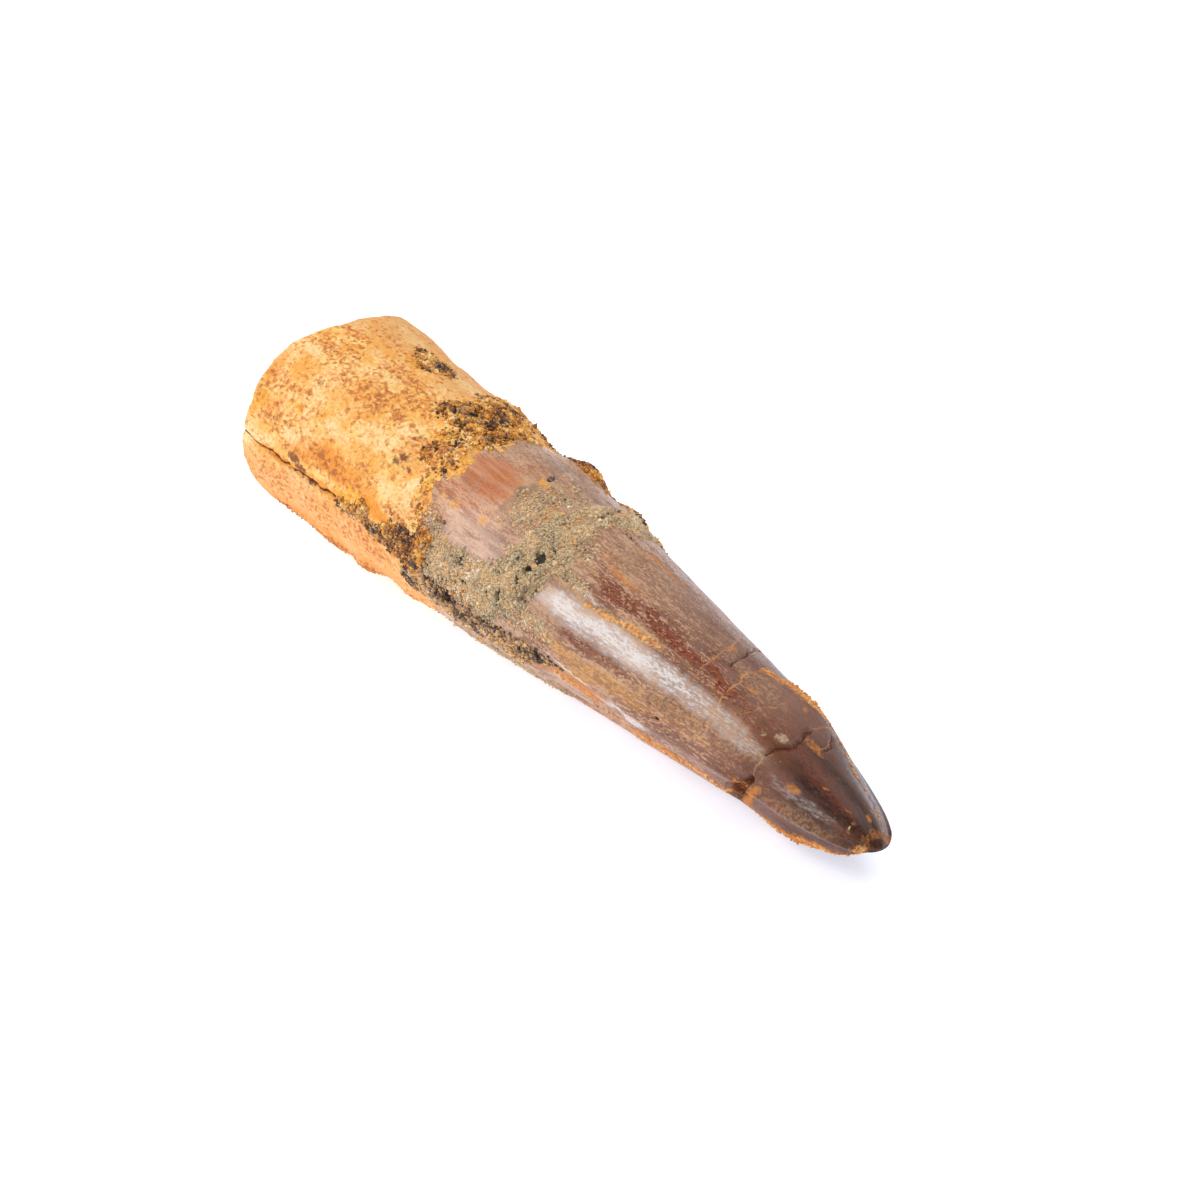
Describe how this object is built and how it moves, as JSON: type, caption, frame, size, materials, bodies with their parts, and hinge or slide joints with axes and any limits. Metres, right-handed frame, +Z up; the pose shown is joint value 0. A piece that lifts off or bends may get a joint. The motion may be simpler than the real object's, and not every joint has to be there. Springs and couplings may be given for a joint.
{
  "type": "fossil spinosaurus tooth",
  "caption": "Conical fossil dinosaur tooth lying on its side, with a broken porous root, a sandy crust at the neck and a cracked, blunt-tipped crown.",
  "frame": {"origin": "centre of the bounding box's footprint, on the surface that the tooth lies on", "axes": "+X from the broken root end to the tip, +Y towards the side that bulges away from the bend, +Z up"},
  "size_m": [0.0924, 0.0248, 0.0212],
  "materials": {
    "fossil_tooth": "ochre and cream porous root, glossy brown enamel crown, matte sand crust"
  },
  "bodies": {
    "root": {"tooth": "fossil_tooth"}
  },
  "joints": []
}
